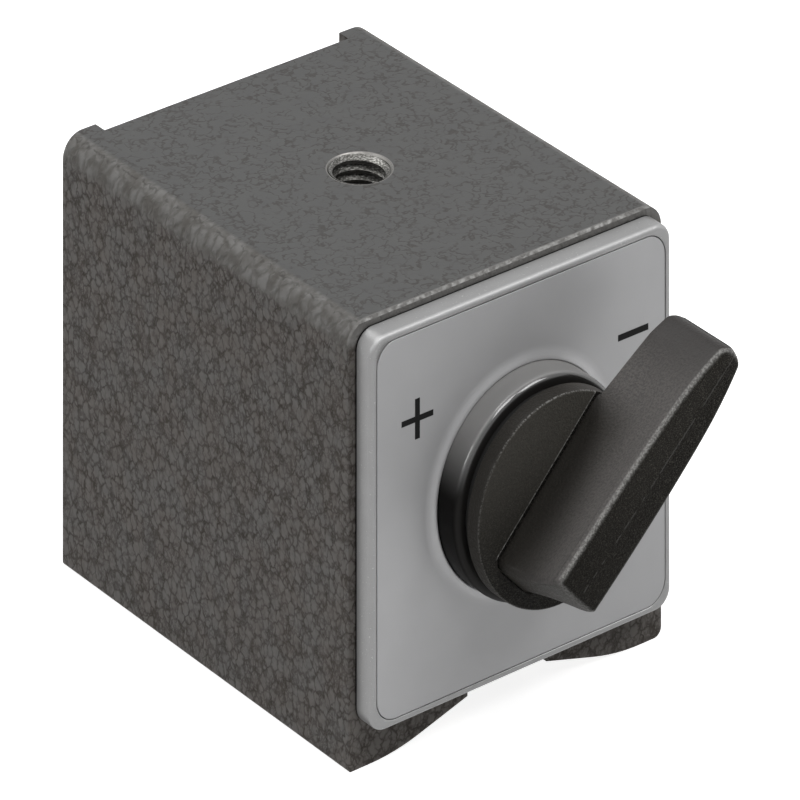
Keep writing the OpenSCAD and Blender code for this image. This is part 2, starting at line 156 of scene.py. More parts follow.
def welded(node):
    """The points, in millimetres, and the flat faces of a CAD solid."""
    solid = bmesh.new()
    solid.from_mesh(nodes[node].data)
    bmesh.ops.remove_doubles(solid, verts=solid.verts, dist=0.002 * MM)
    bmesh.ops.dissolve_limit(solid, angle_limit=0.008, verts=solid.verts, edges=solid.edges)
    solid.verts.index_update()
    points = [v.co / MM for v in solid.verts]
    faces = [[v.index for v in face.verts] for face in solid.faces]
    solid.free()
    return points, faces


def round_edges(made, width, weight):
    """Rounds the edges to which weight gives a share of the width, from each edge's ends and angle."""
    mesh = bmesh.new()
    mesh.from_mesh(made.data)
    layer = mesh.edges.layers.float.new("bevel_weight_edge")
    for edge in mesh.edges:
        angle = math.degrees(edge.calc_face_angle(0))
        if angle > 20:
            edge[layer] = weight([v.co / MM for v in edge.verts], angle)
    mesh.to_mesh(made.data)
    mesh.free()
    bevel = made.modifiers.new("rounded", "BEVEL")
    bevel.limit_method, bevel.width, bevel.segments = "WEIGHT", width * MM, 3
    bevel.harden_normals = True


# The paint has veined cells on its upright faces, faint veins on the top, and swollen lumps along the arris
# between them.
SIDE_CELL, SMALL_CELL, ARRIS_CELL = 1.15, 0.7, 1.6

f = Finish("hammertone", Specular_IOR_Level=0.12)
upward = f.step(f.face[2], 0.86, 0.97)
arris = f.step(abs(f.x), 22.4, 23.2) * f.step(f.z, 51.3, 53.0) * (1 - f.step(f.face[2], 0.975, 0.99))

side_place = f.warped(0.7, 0.5, (1.0, 1.0, 0.75))
side_border = f.cells(SIDE_CELL, side_place)
side_dome = f.node("TexVoronoi", {}, {"Vector": side_place, "Scale": 1 / SIDE_CELL})
small_border = f.cells(SMALL_CELL, f.warped(0.5, 0.35, (1.0, 1.0, 0.8)))
crowded = f.step(f.noise(2.4, 1.0), 0.47, 0.6)
side_vein = (1 - f.step(side_border, -0.05, 0.24)) * (0.3 + 0.7 * f.step(side_dome, 0.25, 0.75))
side_vein = side_vein + crowded * 0.5 * (1 - f.step(small_border, 0.0, 0.22)) * (1 - side_vein)
cell = f.mix(f.step(f.noise(5.0, 2.0), 0.35, 0.65), shade(98, 93, 89), shade(101, 99, 97))
cell = f.mix(f.step(f.noise(0.8), 0.35, 0.7) * 0.6, cell, shade(112, 109, 106))
# Faces that look forward get a lighter paint colour: painted light for the light these faces lack.
cell = f.mix(f.step(f.face[1], -0.6, -0.9), cell, shade(118, 114, 110))
side = f.mix(side_vein * (0.45 + 0.6 * f.noise(1.3, 1.0)), cell, shade(42, 35, 29))

wave = abs(f.noise(1.4, 1.5, f.warped(1.0, 0.6)) - 0.5)
top_vein = (1 - f.step(wave, 0.0, 0.07)) * f.step(f.noise(2.0, 1.0), 0.28, 0.55)
top = f.mix(f.noise(3.0), shade(86, 86, 86), shade(92, 92, 91))
top = f.mix(top_vein * 0.7, top, shade(62, 59, 56))

arris_place = f.warped(0.9, 0.5, (0.7, 1.0, 0.7))
arris_gap = 1 - f.step(f.cells(ARRIS_CELL, arris_place), 0.0, 0.3)
# The lumps along the arris are the paint's own; their light colour is a painted highlight.
edge = f.mix(f.step(f.noise(3.0), 0.35, 0.6), shade(100, 98, 95), shade(122, 121, 119))
edge = f.mix(arris_gap * f.noise(1.1), edge, shade(80, 77, 73))
crack = abs(abs(f.x) - 23.15 + 1.1 * (f.noise(0.9, 3.0) - 0.5) - 0.45 * arris_gap)
crack = (1 - f.step(crack, 0.05, 0.25)) * f.step(f.z, 54, 54.5) * f.step(f.noise(1.2), 0.38, 0.6)
crack = crack * f.step(f.x, 0, -1)

# A light line along the front top arris: wear to bare metal, with a painted glint on it.
rub_and_glint = f.step(f.face[1], -0.2, -0.35) * f.step(f.face[2], 0.25, 0.4) * f.step(f.z, 51, 53)
rub_and_glint = rub_and_glint * f.step(f.noise(0.7, 4.0), 0.4, 0.62)
ground = f.step(f.face[2], -0.2, -0.4)
thread_wall = f.step(f.vector("LENGTH", f.vector("MULTIPLY", f.place, (1, 1, 0))), 4.4, 4.3) * f.step(f.z, 40, 41)
bare = f.math("MAXIMUM", ground, thread_wall)
streaks = f.noise(0.25, 3.0, f.vector("MULTIPLY", f.place, (1.0, 0.02, 1.0)))

paint = f.mix(arris, f.mix(upward, side, top), edge)
paint = f.mix(crack * 0.4, paint, shade(30, 27, 25))
# The front strip between the top arris and the plate is painted lighter: painted light on a face that gets little.
strip = f.step(f.y, FACE_Y + 0.6, FACE_Y + 0.3) * f.step(f.z, 52, 53)
paint = f.mix(strip, paint, f.mix(f.noise(0.6, 2.0), shade(104, 102, 99), shade(140, 139, 137)))
colour = f.mix(rub_and_glint * 0.6, paint, shade(165, 165, 163))
colour = f.mix(bare, colour, f.mix(streaks, shade(104, 103, 100), shade(146, 144, 141)))
lumps = (1 - upward) * (1 - arris) * (1 - side_vein) - 0.3 * upward * top_vein - 1.5 * arris * arris_gap
lumps = (1 - bare) * (lumps + 0.2 * f.noise(0.35, 2.0)) + 0.08 * bare * streaks
hammertone = f.wear(Base_Color=colour, Metallic=f.math("MAXIMUM", bare, rub_and_glint * 0.4),
                    Roughness=0.5 + 0.2 * side_vein * (1 - upward) - 0.14 * bare, Normal=f.bump(lumps, 0.07))


TOP_SEAM_X, BOTTOM_SEAM_X = 8.0, 6.3
FRONT_SCREW_X, FRONT_SCREW_Z = 20.0, 20.3
REAR_SCREW_X, REAR_SCREW_Z = 15.5, 20.0
BORE_REACH, MOUTH_REACH, SCREW_REACH = 15.6, 5.0, 3.3


def block_edge(ends, angle):
    """The outer edges are rounded; seams between the solids and the rims of holes stay as they are."""
    for seam in (TOP_SEAM_X, BOTTOM_SEAM_X):
        if all(abs(abs(p.x) - seam) < 0.05 for p in ends):
            return 0
    middle = (ends[0] + ends[1]) / 2
    if math.hypot(middle.x, middle.z - AXIS_Z) < BORE_REACH or math.hypot(middle.x, middle.y) < MOUTH_REACH:
        return 0
    across, up = abs(middle.x), abs(middle.z - AXIS_Z)
    if math.hypot(across - FRONT_SCREW_X, up - FRONT_SCREW_Z) < SCREW_REACH and middle.y < FACE_Y + 10:
        return 0
    if math.hypot(across - REAR_SCREW_X, up - REAR_SCREW_Z) < SCREW_REACH and middle.y > 15:
        return 0
    return 0.3 if angle < 60 or middle.z < 8 else 1.0


for node in ("left_pole", "right_pole", "top_strip"):
    made = piece(node + "_painted", *welded(node), hammertone, "base", "painted_steel", [node])
    round_edges(made, 0.3, block_edge)

# ---- Thread ----
# The M8 thread for the stand's column. It is tapped through the paint into the stainless top strip, so
# its turns are bare metal, with fine scratches that run round them.

THREAD_R, CREST_R, PITCH = 4.05, 3.35, 1.25
THREAD_TOP, THREAD_BOTTOM = 54.95, 46.6
TURN_STEPS = 40

steps = round((THREAD_TOP - THREAD_BOTTOM) / PITCH * TURN_STEPS)
points, faces = [], []
for i in range(steps + 1):
    angle = 2 * math.pi * i / TURN_STEPS
    z = THREAD_BOTTOM + PITCH * i / TURN_STEPS
    full = min(1, i / 10, (steps - i) / 16 + 0.05)  # the thread fades in at the bottom and out at the mouth
    crest = THREAD_R - (THREAD_R - CREST_R) * full
    for r, rise in ((THREAD_R, -0.56), (crest, -0.08), (crest, 0.08), (THREAD_R, 0.56)):
        points.append((r * math.cos(angle), r * math.sin(angle), min(z + rise * (0.3 + 0.7 * full), THREAD_TOP)))
for i in range(steps):
    a = 4 * i
    for k in range(4):
        faces.append((a + k, a + 4 + k, a + 4 + (k + 1) % 4, a + (k + 1) % 4))
faces += [(0, 1, 2, 3), (4 * steps + 3, 4 * steps + 2, 4 * steps + 1, 4 * steps)]

f = Finish("tapped_steel", Metallic=1.0)
scratch = f.noise(0.3, 4.0, f.vector("MULTIPLY", f.place, (1.0, 1.0, 3.0)))
colour = f.mix(f.step(scratch, 0.4, 0.75), shade(74, 73, 70), shade(150, 149, 146))
tapped = f.wear(Base_Color=colour, Roughness=0.22 + 0.3 * scratch, Normal=f.bump(scratch, 0.06))
piece("m8_thread_turns", points, faces, tapped, "base", "stainless", smooth_below=25)

# ---- Bottom strip and rear bearing ----
# A ground stainless strip closes the bore over the vee. Behind the rotor, a brass disc with a bronze bush
# is pressed into the bore. None of them is painted.


def turned(name, dark, light, axis_y=True):
    """A machined metal with fine rings about the rotor axis, or with fine lines along the block."""
    f = Finish(name, Metallic=1.0)
    if axis_y:
        from_axis = f.vector("SUBTRACT", f.place, (0, 0, AXIS_Z))
        from_axis = f.vector("LENGTH", f.vector("MULTIPLY", from_axis, (1, 0, 1)))
        along = f.node("CombineXYZ", {}, {0: from_axis * 8, 1: f.y * 8, 2: 0.0})
    else:
        along = f.vector("MULTIPLY", f.place, (4.0, 0.06, 4.0))
    lines = f.noise(1.0, 3.0, along)
    stain = f.noise(4.0, 3.0)
    colour = f.mix(f.step(lines, 0.3, 0.7) * 0.6 + 0.4 * stain, dark, light)
    return f.wear(Base_Color=colour, Roughness=0.24 + 0.2 * stain, Normal=f.bump(lines, 0.01))


def dress(material, *names):
    """Gives CAD nodes a finish."""
    for name in names:
        nodes[name].data.materials.clear()
        nodes[name].data.materials.append(material)


dress(turned("ground_stainless", shade(140, 139, 137), shade(170, 169, 167), axis_y=False), "bottom_strip")
brass = turned("turned_brass", shade(176, 150, 92), shade(205, 181, 120))
bronze = turned("sintered_bronze", shade(148, 112, 70), shade(178, 138, 92))
dress(brass, "rear_bearing_disc")
dress(bronze, "rear_bush")

# ---- Rear plate and its screws ----
# A sheet steel cover, painted satin black, lies in the recess between the rear cheeks. Four countersunk
# screws with hexagon sockets hold it.

f = Finish("satin_black_sheet", Specular_IOR_Level=0.35)
skin = f.noise(0.5, 3.0)
dust = f.step(f.noise(6.0, 3.0), 0.45, 0.75)
sheet_paint = f.wear(Base_Color=f.mix(dust * 0.5, shade(52, 51, 50), shade(74, 72, 70)),
                     Roughness=0.45 + 0.15 * skin, Normal=f.bump(skin, 0.02))


def sheet_edge(ends, angle):
    """Only the outline of the sheet is rounded, and not the countersinks."""
    middle = (ends[0] + ends[1]) / 2
    return 1.0 if abs(middle.x) > 19.4 or abs(middle.z - AXIS_Z) > 23.1 else 0


made = piece("rear_cover", *welded("rear_plate"), sheet_paint, "base", "painted_sheet", ["rear_plate"])
round_edges(made, 0.25, sheet_edge)


def ring(r, y, count=48, x=0.0, z=AXIS_Z, corners=0):
    """Points about an axis that runs front to back: a circle, or a polygon of that many corners."""
    made = []
    for i in range(count):
        angle = 2 * math.pi * i / count
        reach = r
        if corners:
            part = 2 * math.pi / corners
            reach = r * math.cos(part / 2) / math.cos(angle % part - part / 2)
        made.append((x + reach * math.cos(angle), y, z + reach * math.sin(angle)))
    return made


def loft(loops, closed=False):
    """Skins loops with equal numbers of points. Closed joins the last to the first, as in a ring."""
    count = len(loops[0])
    points = [p for loop in loops for p in loop]
    faces = []
    for k in range(len(loops) if closed else len(loops) - 1):
        a, b = k * count, (k + 1) % len(loops) * count
        faces += [(a + i, b + i, b + (i + 1) % count, a + (i + 1) % count) for i in range(count)]
    if not closed:
        faces += [tuple(range(count)), tuple(reversed(range(len(points) - count, len(points))))]
    return points, faces


f = Finish("zinc_plated", Metallic=1.0)
cloud = f.noise(0.8, 3.0)
zinc = f.wear(Base_Color=f.mix(cloud, shade(158, 158, 160), shade(196, 196, 198)), Roughness=0.28 + 0.2 * cloud,
              Normal=f.bump(f.noise(0.2), 0.01))

points, faces = [], []
for sx in (-1, 1):
    for sz in (-1, 1):
        at = {"x": sx * REAR_SCREW_X, "z": AXIS_Z + sz * REAR_SCREW_Z}
        one, skin_faces = loft([
            ring(1.45, 20.5, **at), ring(1.45, 28.0, **at), ring(2.9, 29.35, **at), ring(2.9, 29.44, **at),
            ring(2.82, 29.5, **at), ring(1.25, 29.5, corners=6, **at), ring(1.16, 29.43, corners=6, **at),
            ring(1.16, 28.3, corners=6, **at)])
        faces += [[len(points) + i for i in face] for face in skin_faces]
        points += one
piece("rear_socket_screws", points, faces, zinc, "base", "screw_steel", ["rear_plate_screws"], smooth_below=30)

# ---- Front plate ----
# A silver die casting, bolted to the block by four screws that the label hides. Its front edge is well
# rounded, and a shallow pocket takes the label. The stop pin for the knob is pressed into the ring that
# fills its hole.

PLATE_W, PLATE_H, PLATE_R, PLATE_EDGE_R = 48.0, 48.6, 2.4, 0.6
PLATE_Y, POCKET_Y, LABEL_Y = -33.2, -32.85, -33.1
RIM_W, RING_R = 0.9, 13.75
SIDE_STEPS, CORNER_STEPS = 20, 12


def outline(inset, y, r=PLATE_R):
    """A rounded rectangle inset from the plate's outline, with the same number of points each time."""
    w, h = PLATE_W / 2 - inset, PLATE_H / 2 - inset
    made = []
    for quarter in range(4):
        turn = Matrix.Rotation(quarter * math.pi / 2, 2)
        a, b = (w, h) if quarter % 2 == 0 else (h, w)
        for i in range(SIDE_STEPS):
            made.append((turn @ Vector((a, (b - r) * (2 * i / SIDE_STEPS - 1))), y))
        for i in range(CORNER_STEPS):
            angle = math.pi / 2 * i / CORNER_STEPS
            made.append((turn @ Vector((a - r + r * math.cos(angle), b - r + r * math.sin(angle))), y))
    return [(p.x, y, AXIS_Z + p.y) for p, y in made]


def hole(r, y):
    """A circle whose points start level with the outline's."""
    count = 4 * (SIDE_STEPS + CORNER_STEPS)
    start = math.atan2(-(PLATE_H / 2 - PLATE_R), PLATE_W / 2)
    angles = [start + 2 * math.pi * i / count for i in range(count)]
    return [(r * math.cos(a), y, AXIS_Z + r * math.sin(a)) for a in angles]


def shade_evenly(made):
    """Lets the large faces decide the shading, so that narrow roundings don't bend it."""
    made.modifiers.new("even_shading", "WEIGHTED_NORMAL").keep_sharp = True


f = Finish("silver_casting", Metallic=0.45, Specular_IOR_Level=0.4)
grain = f.noise(0.22, 2.0)
flecks = f.step(f.noise(0.25, 2.0), 0.66, 0.76)
colour = f.mix(f.noise(3.0), shade(146, 146, 146), shade(156, 156, 156))
# The upward rounding of the front edge is painted lighter: a painted highlight.
edge_highlight = f.step(f.face[2], 0.15, 0.5) * f.step(f.face[1], -0.1, -0.5)
colour = f.mix(edge_highlight * 0.6, colour, shade(186, 186, 186))
colour = f.mix(flecks * 0.5, colour, shade(215, 215, 215))
# The pocket's floor, seen through the gap round the label, is painted dark: painted shade in the recess.
pocket_shade = f.step(f.y, POCKET_Y - 0.12, POCKET_Y - 0.06) * f.step(f.face[1], -0.8, -0.95)
colour = f.mix(pocket_shade, colour, shade(24, 24, 24))
# The casting's back edge against the block is painted near black: a painted shadow in the gap.
gap_shadow = f.step(f.y, FACE_Y - 0.4, FACE_Y - 0.3)
colour = f.mix(gap_shadow, colour, shade(6, 6, 6))
silver = f.wear(Base_Color=colour, Roughness=0.34 + 0.16 * grain, Normal=f.bump(grain, 0.025))
loops = [outline(0.12, FACE_Y), outline(0.0, FACE_Y - 0.12)]
for i in range(7):
    angle = math.pi / 12 * i
    away = PLATE_EDGE_R * (1 - math.cos(angle))
    loops.append(outline(away, PLATE_Y + PLATE_EDGE_R * (1 - math.sin(angle)), PLATE_R - away))
loops += [outline(RIM_W - 0.06, PLATE_Y, 3.0), outline(RIM_W, PLATE_Y + 0.06, 3.0), outline(RIM_W, POCKET_Y, 3.0)]
loops += [hole(RING_R + 0.5, POCKET_Y), hole(RING_R + 0.45, PLATE_Y), hole(RING_R + 0.02, PLATE_Y),
          hole(RING_R + 0.02, POCKET_Y), hole(12.5, POCKET_Y), hole(12.5, FACE_Y)]
made = piece("front_casting", *loft(loops, closed=True), silver, "base", "silver_casting", ["front_plate"])
shade_evenly(made)
dress(zinc, "front_plate_screws")
dress(turned("ground_pin", shade(170, 170, 172), shade(196, 196, 198)), "stop_pin")

# ---- Front label ----
# A thin satin sheet glued into the pocket, a hair off its centre. Round the ring it is pressed up into a
# low lip. A plus and a minus are printed on it, for magnet on and magnet off.

PLUS, MINUS = (-16.65, 42.2), (17.85, 41.85)
OFF_CENTRE = 0.07

f = Finish("label_sheet", Specular_IOR_Level=0.2, Coat_Roughness=0.25)


def stroke(at, length, width):
    """1 inside an upright or level bar, in the plane of the label."""
    inside_x = f.step(abs(f.x - at[0]), length / 2 + 0.02, length / 2 - 0.02)
    return inside_x * f.step(abs(f.z - at[1]), width / 2 + 0.02, width / 2 - 0.02)


ink = f.math("MAXIMUM", stroke(PLUS, 5.0, 0.74), stroke(PLUS, 0.78, 5.0))
ink = f.math("MAXIMUM", ink, stroke(MINUS, 4.95, 0.82))
satin = f.noise(0.12, 2.0)
colour = f.mix(f.noise(9.0, 2.0), shade(172, 172, 173), shade(184, 184, 185))
label = f.wear(Base_Color=f.mix(ink, colour, shade(8, 8, 8)), Metallic=0.3 * (1 - ink),
               Coat_Weight=f.step(f.y, LABEL_Y - 0.05, LABEL_Y - 0.3),
               Roughness=0.46 + 0.08 * satin + 0.3 * ink, Normal=f.bump(satin - 0.3 * ink, 0.004))
loops = [outline(RIM_W + 0.1, POCKET_Y, 2.9), outline(RIM_W + 0.1, LABEL_Y + 0.06, 2.9),
         outline(RIM_W + 0.16, LABEL_Y, 2.85)]
loops = [[(x + OFF_CENTRE, y, z - OFF_CENTRE) for x, y, z in loop] for loop in loops]
for r, rise in ((15.6, 0.0), (15.2, 0.03), (14.8, 0.12), (14.4, 0.27), (14.1, 0.36), (13.98, 0.385),
                (13.88, 0.38), (13.82, 0.34), (13.79, 0.27)):
    loops.append(hole(r, LABEL_Y - rise))
loops += [hole(13.79, LABEL_Y), hole(14.3, POCKET_Y)]
made = piece("front_label_sheet", *loft(loops, closed=True), label, "base", "printed_label", ["front_label"])
shade_evenly(made)

# ---- Bezel ring, front bush and seal ----
# A fixed ring, turned and blackened, with a smooth round front edge. Its spigot goes through the plate
# and holds the bronze bush. A rubber seal fills most of the gap behind the knob.

RING_Y, RING_EDGE_R, SEAL_FLOOR_Y = -37.2, 0.9, -36.4
SPIGOT_R, SEAL_OUT_R, SEAL_IN_R, BUSH_R = 12.5, 12.3, 11.0, 8.0


def lathe(profile, count=144):
    """A closed ring from radius and reach, both in millimetres."""
    return loft([ring(r, y, count) for r, y in profile], closed=True)


def arc(r, y, radius, start, end, steps=8):
    """Points round a small circle, with angles from outwards (0) to the front (90)."""
    angles = [math.radians(start + (end - start) * i / steps) for i in range(steps + 1)]
    return [(r + radius * math.cos(a), y - radius * math.sin(a)) for a in angles]


f = Finish("blackened_ring", Specular_IOR_Level=0.06, Coat_Roughness=0.12, Coat_IOR=1.8)
haze = f.noise(3.0, 3.0)
around = f.step(f.face[1], -0.75, -0.3)
# The ring's round side is painted light where it faces up and dark where it faces down: painted light and shade from
# above.
painted_top_light = f.step(f.face[2], 0.15, 0.8)
colour = f.mix(around, shade(36, 35, 34), f.mix(painted_top_light * (0.9 + 0.2 * haze), shade(12, 11, 10), shade(152, 151, 150)))
rings_place = f.vector("MULTIPLY", f.place, (0.3, 9.0, 0.3))
fine = f.noise(1.0, 2.0, rings_place)
polish = f.step(abs(f.face[1] + 0.5), 0.45, 0.3) * f.step(f.z, AXIS_Z + 3, AXIS_Z + 8)
blackened = f.wear(Base_Color=colour, Roughness=0.4 + 0.1 * fine, Coat_Weight=polish, Normal=f.bump(fine, 0.004))
profile = [(SPIGOT_R, FACE_Y), (SPIGOT_R, POCKET_Y), (RING_R - 0.05, POCKET_Y), (RING_R, POCKET_Y - 0.05)]
profile += arc(RING_R - RING_EDGE_R, RING_Y + RING_EDGE_R, RING_EDGE_R, 0, 90)
profile += [(SEAL_OUT_R + 0.05, RING_Y), (SEAL_OUT_R, RING_Y + 0.05), (SEAL_OUT_R, SEAL_FLOOR_Y),
            (SEAL_IN_R, SEAL_FLOOR_Y), (SEAL_IN_R, RING_Y + 0.05), (SEAL_IN_R - 0.05, RING_Y),
            (BUSH_R, RING_Y), (BUSH_R, FACE_Y)]
made = piece("bezel", *lathe(profile), blackened, "base", "bezel", ["bezel_ring"])
shade_evenly(made)

f = Finish("seal_rubber", Specular_IOR_Level=0.3)
bloom = f.noise(1.5, 3.0)
rubber = f.wear(Base_Color=f.mix(bloom, shade(18, 18, 18), shade(28, 28, 27)), Roughness=0.7 + 0.15 * bloom,
                Normal=f.bump(f.noise(0.15), 0.01))
profile = [(11.05, -36.45), (12.25, -36.45), (12.25, -37.3)]
profile += arc(11.65, -37.55, 0.5, 0, 180) + [(11.05, -37.3)]
piece("seal_ring", *lathe(profile), rubber, "base", "seal_rubber", ["dust_seal"])
dress(bronze, "front_bush", "thrust_washer")

# ---- Rotor ----
# The core that the knob turns: flat ferrite magnets between two soft iron shoes, held by a brass cap at
# each end. It runs in the bronze bushes and can't be seen once the block is closed.

f = Finish("sintered_ferrite", Metallic=0.2)
pores = f.step(f.noise(0.3, 3.0), 0.6, 0.75)
colour = f.mix(pores, f.mix(f.noise(3.0), shade(66, 66, 69), shade(80, 80, 83)), shade(38, 38, 40))
dress(f.wear(Base_Color=colour, Roughness=0.55 + 0.2 * pores, Normal=f.bump(pores, -0.05)), "magnet_blocks")
dress(turned("turned_iron", shade(120, 120, 121), shade(152, 152, 153)), "upper_shoe", "lower_shoe")
dress(brass, "front_cap", "rear_cap")
dress(zinc, "front_cap_screws", "rear_cap_screws")
dress(turned("ground_shaft", shade(168, 168, 171), shade(196, 196, 199)), "knob_shaft")
dress(turned("blued_spring_steel", shade(62, 64, 70), shade(84, 86, 92)), "retaining_ring")

# ---- Knob ----
# A die casting with a fine-grained black coat, pressed on to the flat of the shaft. A round flange covers
# the ring's opening, and the long bar across it has a hollow finger grip on each side. All its edges are
# soft.

REST = math.radians(44.5)
FLANGE_BACK, FLANGE_R, FLANGE_T, CHANNEL_T = -38.2, 13.0, 2.4, 1.9
BAR_SHORT, BAR_LONG, SHORT_R, LONG_R = 10.8, 25.35, 1.0, 1.3
RIDGE_H, RIDGE_RISE, SHORT_LEAN, UNDERSIDE_RISE = 13.6, math.radians(2.9), math.radians(12), math.radians(9.5)
BAR_FOOT_H, UNDERSIDE_S, UNDERSIDE_H = 1.6, 12.0, 2.0
CHORD_T, CHANNEL_END, CHANNEL_R = 4.1, 10.6, 1.2

# Half the bar's width at its crest, at the waist of its grip, and at its foot in and beyond the grip
CREST_T, WAIST_T, FOOT_T, END_FOOT_T = 4.7, 2.65, 3.5, 2.85
TAPER_FROM, TAPER_RUN, TAPER_T = -4, 23, 1.35
GRIP_END, GRIP_FADE = 17, 2.4
CROWN_H, HEEL_R, RIM_R = 0.15, 0.4, 0.9
END_BOW, LOWER_SHARE = 0.05, 0.4


def in_knob(s, t, h):
    """A point from its place along and across the bar, and its height over the back of the flange."""
    return (s * math.cos(REST) - t * math.sin(REST), FLANGE_BACK - h,
            AXIS_Z + s * math.sin(REST) + t * math.cos(REST))


def fillet(before, corner, after, r, steps=5):
    """Points round a corner of a section, tangent to both of its sides."""
    a, b = (before - corner).normalized(), (after - corner).normalized()
    half = a.angle(b) / 2
    reach = r / math.tan(half)
    middle = corner + (a + b).normalized() * (r / math.sin(half))
    start, end = corner + a * reach - middle, corner + b * reach - middle
    return [middle + r * start.slerp(end, i / steps) for i in range(steps + 1)]


def half_section(s):
    """One side of the bar at a station, from the middle of its foot round the grip to the ridge."""
    crest = CREST_T - TAPER_T * ((s - TAPER_FROM) / TAPER_RUN) ** 3
    hollow = 1 / (1 + math.exp((s - GRIP_END) / GRIP_FADE))  # 1 in the grip and 0 beyond it
    foot = FOOT_T * hollow + min(crest, END_FOOT_T) * (1 - hollow)
    waist = WAIST_T * hollow + (foot + crest) / 2 * (1 - hollow)
    ridge_h = RIDGE_H + s * math.tan(RIDGE_RISE)
    crest_h = ridge_h - CROWN_H
    foot_h = BAR_FOOT_H if s < UNDERSIDE_S else UNDERSIDE_H + (s - UNDERSIDE_S) * math.tan(UNDERSIDE_RISE)
    pull = 2 * waist - (foot + crest) / 2

    def flank(u):
        h = foot_h + (crest_h - foot_h) * u
        v = (h - BAR_FOOT_H) / (crest_h - BAR_FOOT_H)
        return Vector(((1 - v) ** 2 * foot + 2 * v * (1 - v) * pull + v * v * crest, h))

    start, top = Vector((0, foot_h)), Vector((0, ridge_h))
    heel = fillet(start, flank(0), flank(0.1), HEEL_R)
    rim = fillet(flank(0.9), flank(1), top, RIM_R)
    return [start] + heel + [flank(0.1 + 0.8 * i / 12) for i in range(13)] + rim, top


def bar_loop(s, inset):
    """The whole section, drawn in by inset, with the lean of the short end and the bow of both."""
    half, top = half_section(s)
    near, far = max(0, -s / BAR_SHORT) ** 2, max(0, s / BAR_LONG) ** 4
    middle = (half[0].y + top.y) / 2
    loop = []
    for p in half + [top] + [Vector((-p.x, p.y)) for p in reversed(half[1:])]:
        t = p.x * (1 - inset / half[-1].x)
        share = 1 if p.y > middle else LOWER_SHARE
        h = middle + (p.y - middle) * (1 - share * inset / (top.y - middle))
        shift = near * (max(0, h - FLANGE_T) * math.tan(SHORT_LEAN) + END_BOW * abs(t)) - far * END_BOW * abs(t)
        loop.append(in_knob(s + shift, t, h))
    return loop


def bar_loops(stations=56):
    """Sections from the short end's face, round its rim, along the bar and round the rim of the long end."""
    low, high, loops = SHORT_R - BAR_SHORT, BAR_LONG - LONG_R, []
    for i in range(7):
        angle = math.pi / 12 * i
        loops.append(bar_loop(low - SHORT_R * math.cos(angle), SHORT_R * (1 - math.sin(angle))))
    loops += [bar_loop(low + (high - low) * i / stations, 0) for i in range(1, stations)]
    for i in range(9):
        angle = math.pi / 16 * i
        loops.append(bar_loop(high + LONG_R * math.sin(angle), LONG_R * (1 - math.cos(angle))))
    return loops


def flange_face(inset, h):
    """The raised part of the flange's face, on both sides of the bar and round its short end."""
    r, chord, corner = FLANGE_R - inset, CHORD_T + inset, CHANNEL_R + inset
    corner_s, corner_t = CHANNEL_R - CHANNEL_END, CHORD_T - CHANNEL_R
    start = math.asin(chord / r)
    open_s = r * math.cos(start)
    round_rim = [start + 2 * (math.pi - start) * i / 160 for i in range(161)]
    side = [(open_s + (corner_s - open_s) * i / 20, chord) for i in range(1, 20)]
    for i in range(9):
        angle = math.pi / 16 * i
        side.append((corner_s - corner * math.sin(angle), corner_t + corner * math.cos(angle)))
    made = [in_knob(r * math.cos(a), r * math.sin(a), h) for a in round_rim]
    return made + [in_knob(s, -t, h) for s, t in side] + [in_knob(s, t, h) for s, t in reversed(side)]


# The flange's rim, by radius and height, and its raised face, by inset and height
disc = ((12.8, 0), (FLANGE_R, 0.2), (FLANGE_R, 1.6), (12.9, CHANNEL_T))
raised = ((0.4, 1.4), (0, 1.6), (0, FLANGE_T - 0.3), (0.04, FLANGE_T - 0.15), (0.15, FLANGE_T - 0.04), (0.3, FLANGE_T))
points, faces = [], []
for some, skin_faces in (loft(bar_loops()), loft([ring(r, FLANGE_BACK - h, 144) for r, h in disc]),
                         loft([flange_face(inset, h) for inset, h in raised])):
    faces += [[len(points) + i for i in face] for face in skin_faces]
    points += some

# The coat's finish, one dark coat with light and shade painted into its colour. The bar's front, the flange's face and
# the channel are dark, with painted glints, and the flanks are painted lighter as a sheen. The rims and the channel's
# edge get a painted highlight, the channel floor and the flange by the short end a painted shadow, and a painted shade
# lies low between the bar and the flange and on faces that look down.
f = Finish("grained_black", Specular_IOR_Level=0.06, Coat_Roughness=0.34)
along = f.x * math.cos(REST) + (f.z - AXIS_Z) * math.sin(REST)
across = (f.z - AXIS_Z) * math.cos(REST) - f.x * math.sin(REST)
forward = f.step(f.face[1], -0.6, -0.88)
bar = f.step(f.y, FLANGE_BACK - 5, FLANGE_BACK - 8)
rim = f.step(f.math("POWER", along * along + across * across, 0.5), 12.0, 12.5) * (1 - bar)
highlight_speckle = f.step(f.noise(0.25, 2.0), 0.4, 0.62)
# The rims, the crest of the bar and the chord edge of the flange get a light, speckled colour: a painted highlight.
edge = f.math("MAXIMUM", bar, rim * f.step(along, 12.9, 12.6))
edge = edge * f.step(abs(f.face[1] + 0.62), 0.38, 0.1) * (0.35 * (1 - rim) + 0.65 * highlight_speckle)
edge = edge * (0.35 + 0.65 * f.step(along, -4 - 4.4 * bar, 6 - 13.2 * bar))
chord = forward * (1 - bar) * f.step(abs(abs(across) - CHORD_T - 0.2), 0.2, 0.04) * f.step(along, -10.2, -9.6)
edge = edge + chord * (0.25 + 0.75 * highlight_speckle)

coarse = f.step(f.noise(0.3, 2.0), 0.3, 0.7)
# The floor of the channel beside the bar is painted near black: painted shade in the recess.
channel_shade = f.step(f.y, FLANGE_BACK - 2.2, FLANGE_BACK - 2.0) * f.step(abs(across), 4.3, 4.2)
fine = f.noise(0.13, 2.0)
glint = f.step(fine, 0.5, 0.66)
parting = f.step(abs(across + 0.1 * coarse), 0.14, 0.04) * f.step(f.noise(1.4), 0.4, 0.55) * bar
# A painted shade low on the flanks between the bar and the flange.
low_painted_shade = f.step(f.y, FLANGE_BACK - 12, FLANGE_BACK - 3) * f.step(along, 15, 9)
